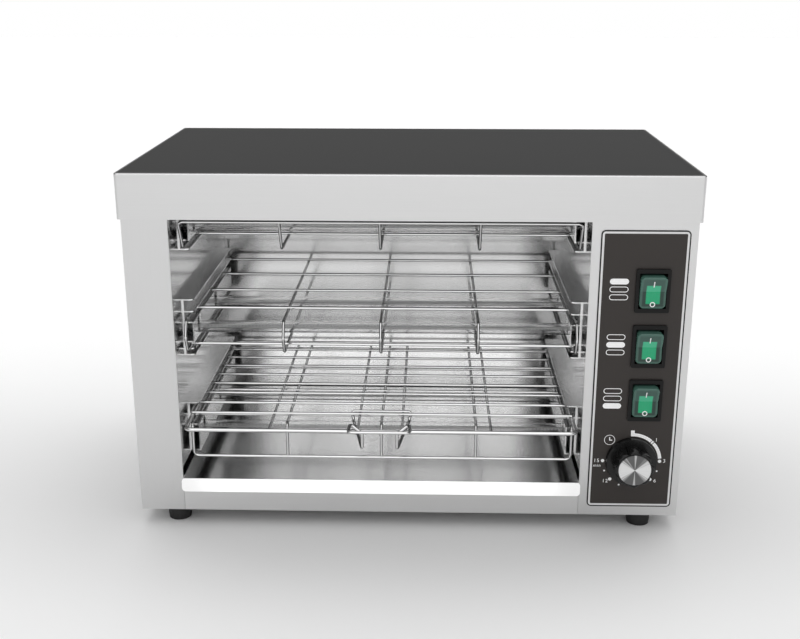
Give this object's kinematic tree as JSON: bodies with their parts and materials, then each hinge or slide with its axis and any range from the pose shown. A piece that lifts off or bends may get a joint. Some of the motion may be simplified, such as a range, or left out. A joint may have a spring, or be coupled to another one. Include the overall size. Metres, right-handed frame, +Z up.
{
  "type": "quartz toaster",
  "caption": "Open-fronted two-tier quartz toaster with wire guards, a sliding wire rack, a crumb tray and a control column with rocker switches and a timer knob.",
  "frame": {"origin": "centre of the bounding box at its bottom, on the surface that the feet stand on", "axes": "+X to the right as seen from the front, +Y to the back, +Z up"},
  "size_m": [0.45, 0.2848, 0.2953],
  "materials": {
    "brushed_steel": "fine brushed stainless sheet",
    "bright_steel": "bright annealed stainless sheet",
    "chrome_wire": "polished chrome on welded wire",
    "quartz": "clear fused quartz",
    "resistance_wire": "dull coiled resistance wire",
    "black_plastic": "black moulded plastic",
    "green_lens": "green tinted glossy plastic",
    "ceramic": "white steatite",
    "black_rubber": "matt black rubber",
    "zinc_steel": "plated steel",
    "printed_plate": "dark brown-grey printed plate, satin",
    "turned_aluminium": "turned, radial sheen",
    "white_plastic": "white moulded plastic"
  },
  "bodies": {
    "housing": {"top_cover": "brushed_steel", "left_side_panel": "brushed_steel", "right_side_panel": "brushed_steel", "control_plate": "printed_plate", "rear_panel": "brushed_steel", "base_plate": "brushed_steel", "front_rail": "brushed_steel", "tray_support": "brushed_steel", "left_cavity_wall": "bright_steel", "right_cavity_wall": "bright_steel", "cavity_back": "bright_steel", "cavity_roof": "bright_steel", "upper_left_rail": "bright_steel", "upper_right_rail": "bright_steel", "middle_left_rail": "bright_steel", "middle_right_rail": "bright_steel", "lower_left_rail": "bright_steel", "lower_right_rail": "bright_steel", "upper_front_quartz_tube": "quartz", "upper_rear_quartz_tube": "quartz", "middle_front_quartz_tube": "quartz", "middle_rear_quartz_tube": "quartz", "lower_front_quartz_tube": "quartz", "lower_rear_quartz_tube": "quartz", "upper_front_heating_coil": "resistance_wire", "upper_rear_heating_coil": "resistance_wire", "middle_front_heating_coil": "resistance_wire", "middle_rear_heating_coil": "resistance_wire", "lower_front_heating_coil": "resistance_wire", "lower_rear_heating_coil": "resistance_wire", "left_ceramic_ends": "ceramic", "right_ceramic_ends": "ceramic", "upper_guard": "chrome_wire", "middle_guard": "chrome_wire", "lower_guard": "chrome_wire", "front_left_foot": "black_rubber", "front_right_foot": "black_rubber", "rear_left_foot": "black_rubber", "rear_right_foot": "black_rubber", "foot_screws": "zinc_steel", "upper_switch_housing": "black_plastic", "middle_switch_housing": "black_plastic", "lower_switch_housing": "black_plastic", "timer_body": "black_plastic", "timer_nut": "zinc_steel", "cord_gland": "black_plastic", "terminal_block": "white_plastic", "rear_screws": "zinc_steel", "cover_screws": "zinc_steel"},
    "rack": {"wire_rack": "chrome_wire", "rack_handle": "chrome_wire"},
    "tray": {"crumb_tray": "bright_steel"},
    "timer_control": {"timer_shaft": "zinc_steel", "timer_knob": "black_plastic", "knob_cap": "turned_aluminium"},
    "upper_switch": {"upper_rocker": "green_lens"},
    "middle_switch": {"middle_rocker": "green_lens"},
    "lower_switch": {"lower_rocker": "green_lens"}
  },
  "joints": [
    {"name": "rack_slide", "type": "slide", "parent": "housing", "child": "rack", "axis": [0, -1, 0], "range_m": [0, 0.16]},
    {"name": "tray_slide", "type": "slide", "parent": "housing", "child": "tray", "axis": [0, -1, 0], "range_m": [0, 0.2]},
    {"name": "timer_turn", "type": "hinge", "parent": "housing", "child": "timer_control", "pos_m": [0.1821, -0.11646, 0.061], "axis": [0, 1, 0], "range_deg": [0, 270]},
    {"name": "upper_switch_tilt", "type": "hinge", "parent": "housing", "child": "upper_switch", "pos_m": [0.18985, -0.11646, 0.2053], "axis": [-1, 0, 0], "range_deg": [0, 19.4]},
    {"name": "middle_switch_tilt", "type": "hinge", "parent": "housing", "child": "middle_switch", "pos_m": [0.18985, -0.11646, 0.1598], "axis": [-1, 0, 0], "range_deg": [0, 19.4]},
    {"name": "lower_switch_tilt", "type": "hinge", "parent": "housing", "child": "lower_switch", "pos_m": [0.18985, -0.11646, 0.1143], "axis": [-1, 0, 0], "range_deg": [0, 19.4]}
  ]
}
